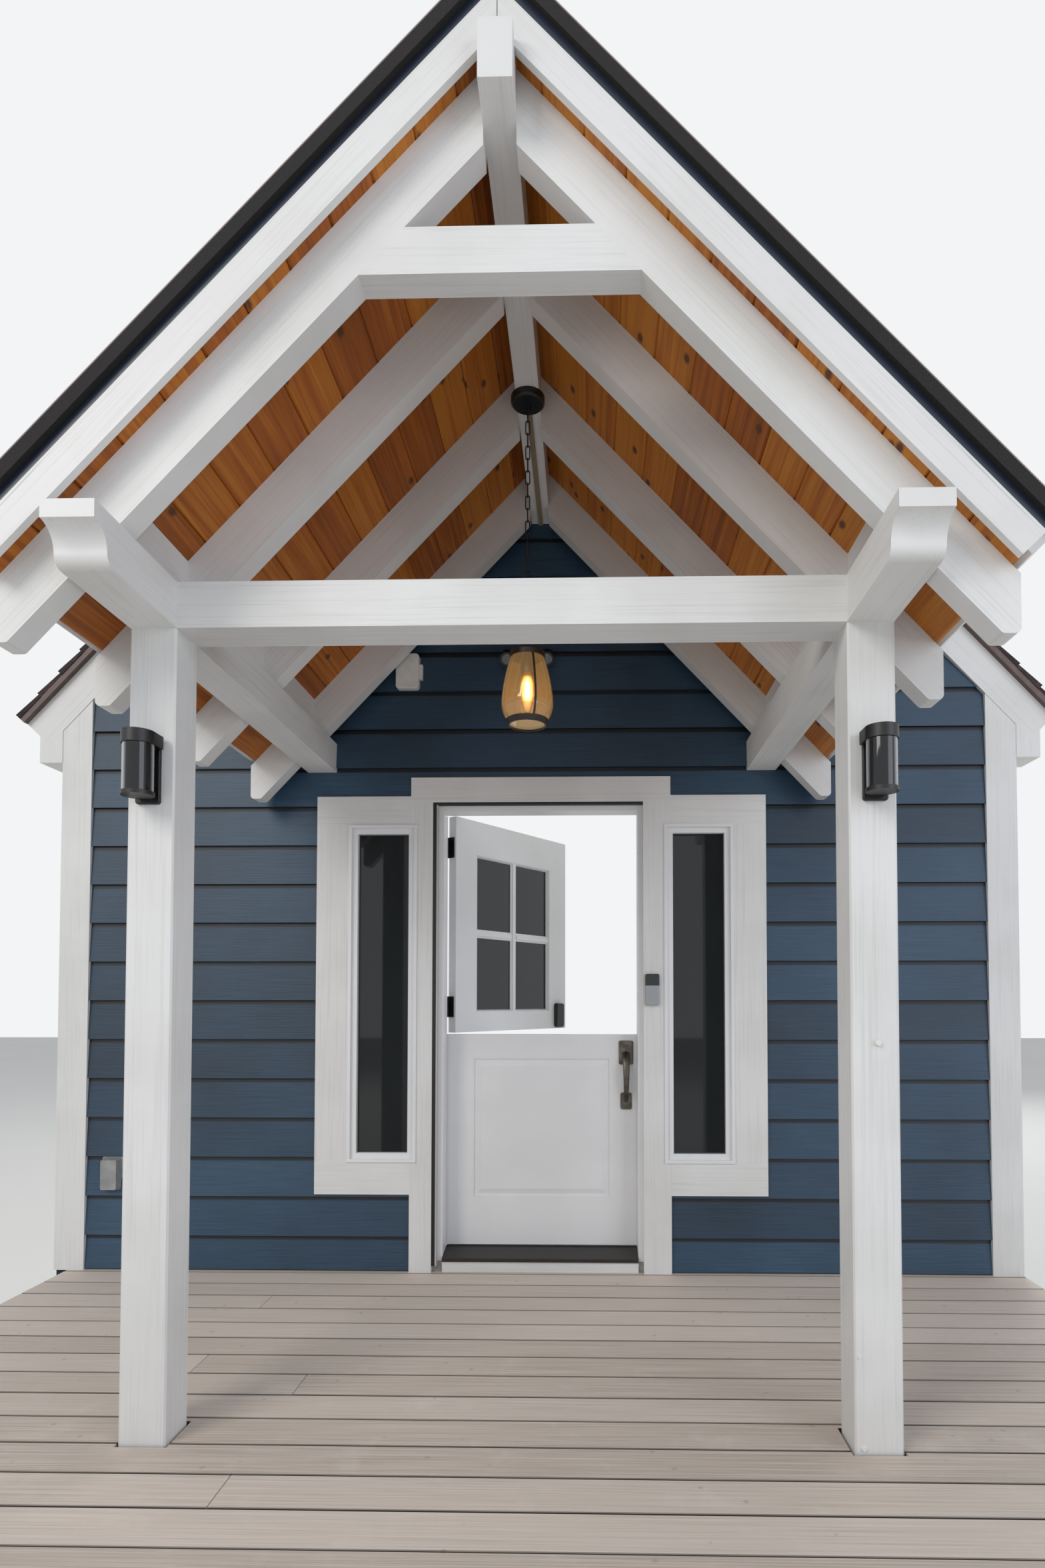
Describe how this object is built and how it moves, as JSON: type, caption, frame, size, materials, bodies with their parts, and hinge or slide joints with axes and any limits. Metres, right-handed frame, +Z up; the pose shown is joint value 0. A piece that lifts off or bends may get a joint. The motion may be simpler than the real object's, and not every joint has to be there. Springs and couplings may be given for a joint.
{
  "type": "gabled entrance porch",
  "caption": "Timber gable porch on posts over a low deck, against a house end wall with a stable door and sidelights.",
  "frame": {"origin": "on the ground, on the centre line of the wall's thickness, below the middle of the door", "axes": "+Z up; -Y out of the house towards the visitor; +X to the visitor's right, along the wall"},
  "size_m": [4.8548, 3.0696, 5.3497],
  "materials": {
    "amber_glass": "clear",
    "bulb": "lit",
    "dark_metal": "satin",
    "deck_wood": "weathered",
    "frame_timber": "rough sawn",
    "glass": "clear",
    "grey_plastic": "satin",
    "painted_wood": "satin paint",
    "plastic": "satin",
    "roofing": "granulated",
    "siding_paint": "satin paint",
    "stained_wood": "clear stain"
  },
  "bodies": {
    "porch": {"alarm_box": "plastic", "barge_boards": "painted_wood", "ceiling": "stained_wood", "collar_tie": "painted_wood", "common_rafters": "painted_wood", "corner_boards": "painted_wood", "deck_boards": "deck_wood", "deck_joists": "frame_timber", "deck_rim": "frame_timber", "door_casing": "painted_wood", "door_frame": "painted_wood", "doorbell": "grey_plastic", "eave_boxes": "painted_wood", "eave_trim": "painted_wood", "flood_light": "dark_metal", "frieze_blocks": "painted_wood", "front_rafters": "painted_wood", "house_roof_edge": "roofing", "jamb_hinges": "dark_metal", "outlet_box": "grey_plastic", "pendant_bulb": "bulb", "pendant_canopy": "dark_metal", "pendant_chain": "dark_metal", "pendant_frame": "dark_metal", "pendant_glass": "amber_glass", "plate_beams": "painted_wood", "post_lamp_glass": "glass", "post_lamps": "dark_metal", "posts": "painted_wood", "rake_boards": "painted_wood", "ridge_beam": "painted_wood", "ridge_cap": "roofing", "roof_slabs": "roofing", "screen_track": "dark_metal", "sidelight_casings": "painted_wood", "sidelight_glass": "glass", "sidelight_sashes": "painted_wood", "sill_base": "frame_timber", "sill_board": "painted_wood", "threshold": "dark_metal", "tie_beam": "painted_wood", "verge_trim": "roofing", "wall_left": "siding_paint", "wall_over_door": "siding_paint", "wall_right": "siding_paint", "wiring_batten": "stained_wood"},
    "lower_door": {"handle_set": "dark_metal", "lower_hinges": "dark_metal", "lower_leaf": "painted_wood"},
    "upper_door": {"upper_hinges": "dark_metal", "upper_leaf": "painted_wood", "upper_leaf_glass": "glass", "upper_lock": "dark_metal"}
  },
  "joints": [
    {"name": "lower_door_swing", "type": "hinge", "parent": "porch", "child": "lower_door", "pos_m": [-0.46025, 0.081, 0.304], "axis": [0, 0, 1], "range_deg": [0, 95]},
    {"name": "upper_door_swing", "type": "hinge", "parent": "porch", "child": "upper_door", "pos_m": [-0.46025, 0.081, 1.298], "axis": [0, 0, 1], "range_deg": [-56.5, 38.5]}
  ]
}
